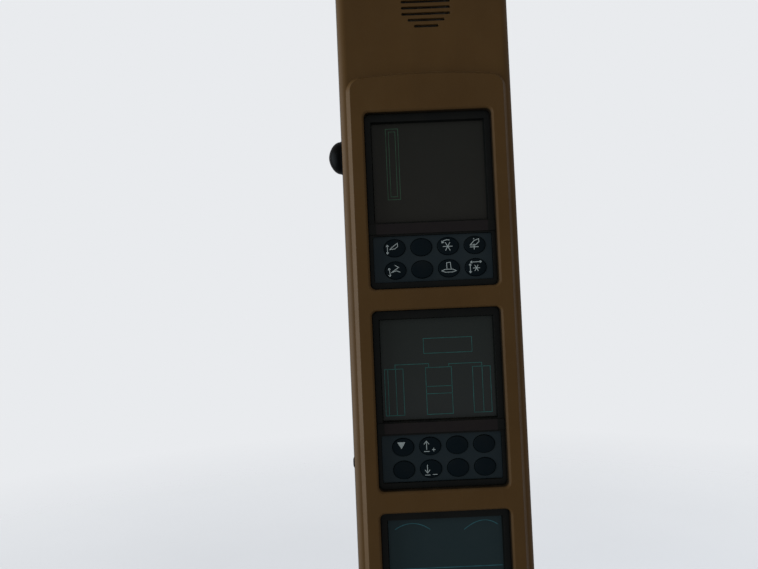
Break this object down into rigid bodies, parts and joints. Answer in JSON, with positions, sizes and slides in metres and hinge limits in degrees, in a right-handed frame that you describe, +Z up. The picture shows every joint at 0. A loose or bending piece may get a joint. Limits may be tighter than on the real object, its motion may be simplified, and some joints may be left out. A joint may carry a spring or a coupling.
{
  "type": "cab corner post with monitor displays",
  "caption": "Front corner post of a harvester cab: a steel post with a moulded cover, a column of monitor displays with key pads, and a louvred speaker grille.",
  "frame": {"origin": "centre of the foot plate's four bolt holes, on the plate's underside", "axes": "+Z up the post, -Y towards the operator (the monitors face it), +X to the operator's right"},
  "size_m": [0.2099, 0.172, 1.6],
  "materials": {
    "post_paint": "satin",
    "trim": "fine grained moulding",
    "zinc_sheet": "zinc plated",
    "rubber_seal": "matt",
    "speaker_metal": "satin",
    "speaker_paper": "matt",
    "cap_plastic": "satin",
    "bezel_plastic": "satin",
    "screen_glass": "clear",
    "display": "dark",
    "keypad_panel": "satin",
    "key_rubber": "satin",
    "housing_plastic": "satin"
  },
  "bodies": {
    "root": {"post_section": "post_paint", "foot_plate": "post_paint", "head_plate": "post_paint", "cover_upper": "trim", "cover_lower": "trim", "cover_straps": "zinc_sheet", "seal_left": "rubber_seal", "seal_right": "rubber_seal", "glazing_bead_left": "rubber_seal", "glazing_bead_right": "rubber_seal", "corner_finisher": "rubber_seal", "speaker_frame": "speaker_metal", "speaker_cone": "speaker_paper", "side_cap": "cap_plastic", "upper_bezel": "bezel_plastic", "upper_lens": "screen_glass", "upper_lcd": "display", "upper_keypad_plate": "keypad_panel", "upper_keymat": "key_rubber", "upper_housing": "housing_plastic", "upper_socket": "housing_plastic", "upper_bracket": "zinc_sheet", "middle_bezel": "bezel_plastic", "middle_lens": "screen_glass", "middle_lcd": "display", "middle_keypad_plate": "keypad_panel", "middle_keymat": "key_rubber", "middle_housing": "housing_plastic", "middle_socket": "housing_plastic", "middle_bracket": "zinc_sheet", "lower_bezel": "bezel_plastic", "lower_lens": "screen_glass", "lower_lcd": "display", "lower_keypad_plate": "keypad_panel", "lower_keymat": "key_rubber", "lower_housing": "housing_plastic", "lower_socket": "housing_plastic", "lower_bracket": "zinc_sheet"}
  },
  "joints": []
}
